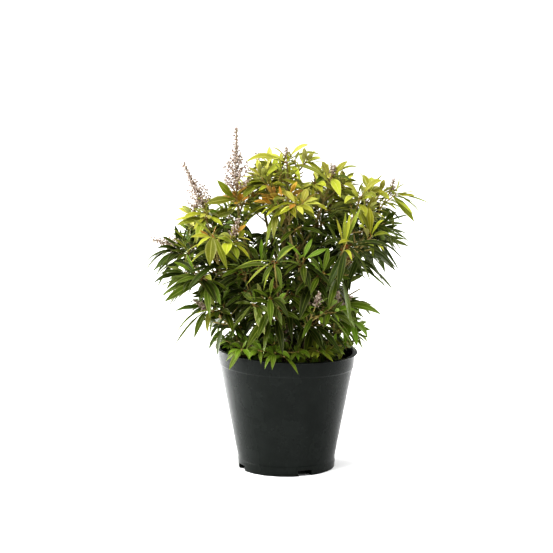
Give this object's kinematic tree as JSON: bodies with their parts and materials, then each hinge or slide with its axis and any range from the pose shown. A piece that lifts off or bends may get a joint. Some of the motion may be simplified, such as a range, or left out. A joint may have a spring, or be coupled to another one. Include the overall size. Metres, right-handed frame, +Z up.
{
  "type": "potted pieris shrub",
  "caption": "Young evergreen shrub with whorls of narrow lime and dark green leaves and upright racemes of pink buds, in a round dark plastic nursery pot.",
  "frame": {"origin": "middle of the pot's flat underside, where it stands", "axes": "+Z up along the pot's axis; the front, which the picture shows, faces -Y, and +X is to the picture's right"},
  "size_m": [0.3822, 0.339, 0.46],
  "materials": {
    "pot_plastic": "satin",
    "compost": "matte",
    "bark": "matte",
    "leaf_lime": "satin",
    "leaf_bronze": "satin",
    "leaf_fresh": "satin",
    "leaf_mid": "satin",
    "leaf_dark": "satin",
    "flower_buds": "matte"
  },
  "bodies": {
    "root": {"bough_back_crest": "bark", "bough_back_left": "bark", "bough_back_middle": "bark", "bough_back_right": "bark", "bough_back_shoulder": "bark", "bough_far_right": "bark", "bough_front_star": "bark", "bough_left_crest": "bark", "bough_left_lime": "bark", "bough_left_reach": "bark", "bough_left_spike": "bark", "bough_left_wing": "bark", "bough_mid_crest": "bark", "bough_mid_spike": "bark", "bough_right_crest": "bark", "bough_right_fan": "bark", "bough_right_low": "bark", "bough_right_wing": "bark", "bough_shoulder": "bark", "compost": "compost", "foliage_back_crest": "leaf_lime", "foliage_back_left": "leaf_mid", "foliage_back_low_left": "leaf_mid", "foliage_back_low_right": "leaf_mid", "foliage_back_middle": "leaf_dark", "foliage_back_right": "leaf_dark", "foliage_back_shoulder": "leaf_lime", "foliage_core_left": "leaf_dark", "foliage_core_right": "leaf_dark", "foliage_far_right": "leaf_lime", "foliage_front_buds": "leaf_mid", "foliage_front_low": "leaf_mid", "foliage_front_star": "leaf_mid", "foliage_heart": "leaf_dark", "foliage_inner_left": "leaf_dark", "foliage_left_crest": "leaf_lime", "foliage_left_lime": "leaf_lime", "foliage_left_reach": "leaf_dark", "foliage_left_skirt": "leaf_mid", "foliage_left_spike": "leaf_lime", "foliage_left_wing": "leaf_dark", "foliage_mid_crest": "leaf_lime", "foliage_mid_spike": "leaf_bronze", "foliage_right_crest": "leaf_lime", "foliage_right_fan": "leaf_dark", "foliage_right_low": "leaf_mid", "foliage_right_skirt": "leaf_fresh", "foliage_right_wing": "leaf_dark", "foliage_rim_back": "leaf_fresh", "foliage_rim_front": "leaf_fresh", "foliage_rim_left": "leaf_fresh", "foliage_rim_right": "leaf_fresh", "foliage_shoulder": "leaf_lime", "foliage_summit": "leaf_lime", "pot": "pot_plastic", "stem_back": "bark", "stem_centre": "bark", "stem_front": "bark", "stem_left": "bark", "stem_right": "bark"}
  },
  "joints": []
}
